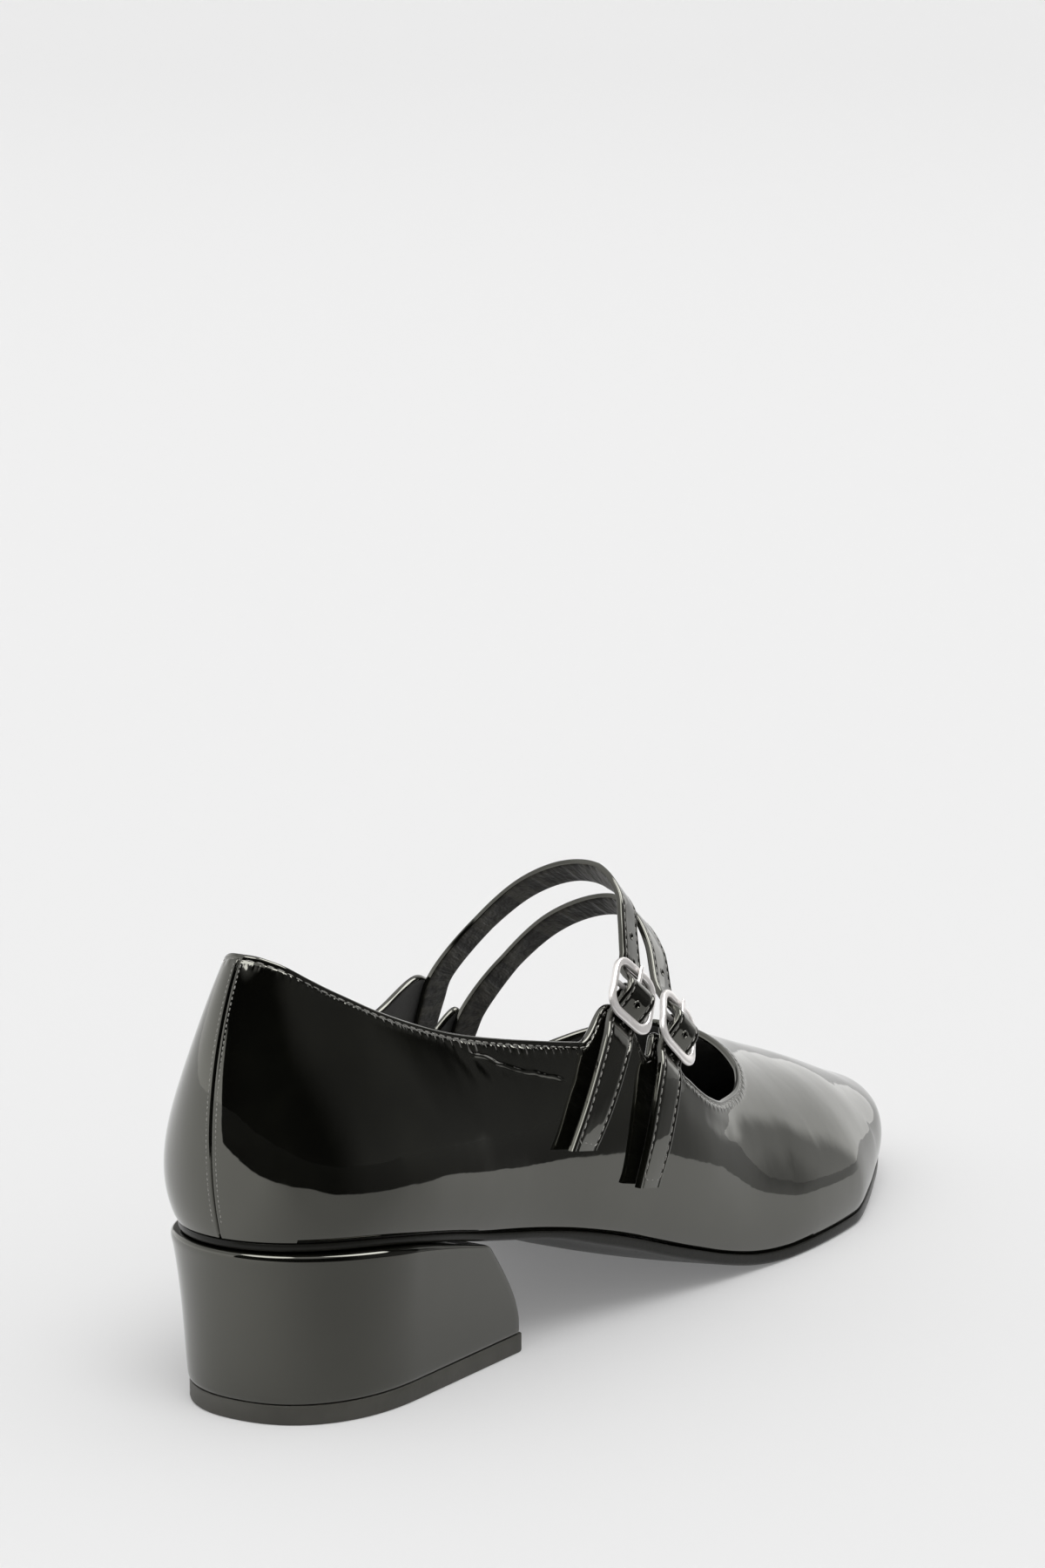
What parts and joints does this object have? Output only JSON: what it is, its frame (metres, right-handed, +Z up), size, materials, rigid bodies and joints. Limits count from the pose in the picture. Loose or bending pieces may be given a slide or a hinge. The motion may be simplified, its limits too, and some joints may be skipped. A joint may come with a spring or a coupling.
{
  "type": "mary jane shoe",
  "caption": "Mary jane shoe in black patent leather, with buckled straps over the instep, a rounded toe, a thin sole and a low block heel.",
  "frame": {"origin": "centre of the shoe's box, on the floor", "axes": "+X from heel to toe, +Y towards the inner side of the right foot, +Z up"},
  "size_m": [0.2534, 0.0798, 0.0925],
  "materials": {
    "black_patent": "patent gloss",
    "sole_black": "satin",
    "sock_lining": "matte",
    "heel_patent": "patent gloss over a moulded core",
    "lift_rubber": "matte",
    "buckle_silver": "polished"
  },
  "bodies": {
    "root": {"upper": "black_patent", "outsole": "sole_black", "insole": "sock_lining", "heel_block": "heel_patent", "heel_lift": "lift_rubber", "rear_strap": "black_patent", "front_strap": "black_patent", "rear_buckle_frame": "buckle_silver", "front_buckle_frame": "buckle_silver", "rear_buckle_prong": "buckle_silver", "front_buckle_prong": "buckle_silver", "rear_buckle_loop": "black_patent", "front_buckle_loop": "black_patent"}
  },
  "joints": []
}
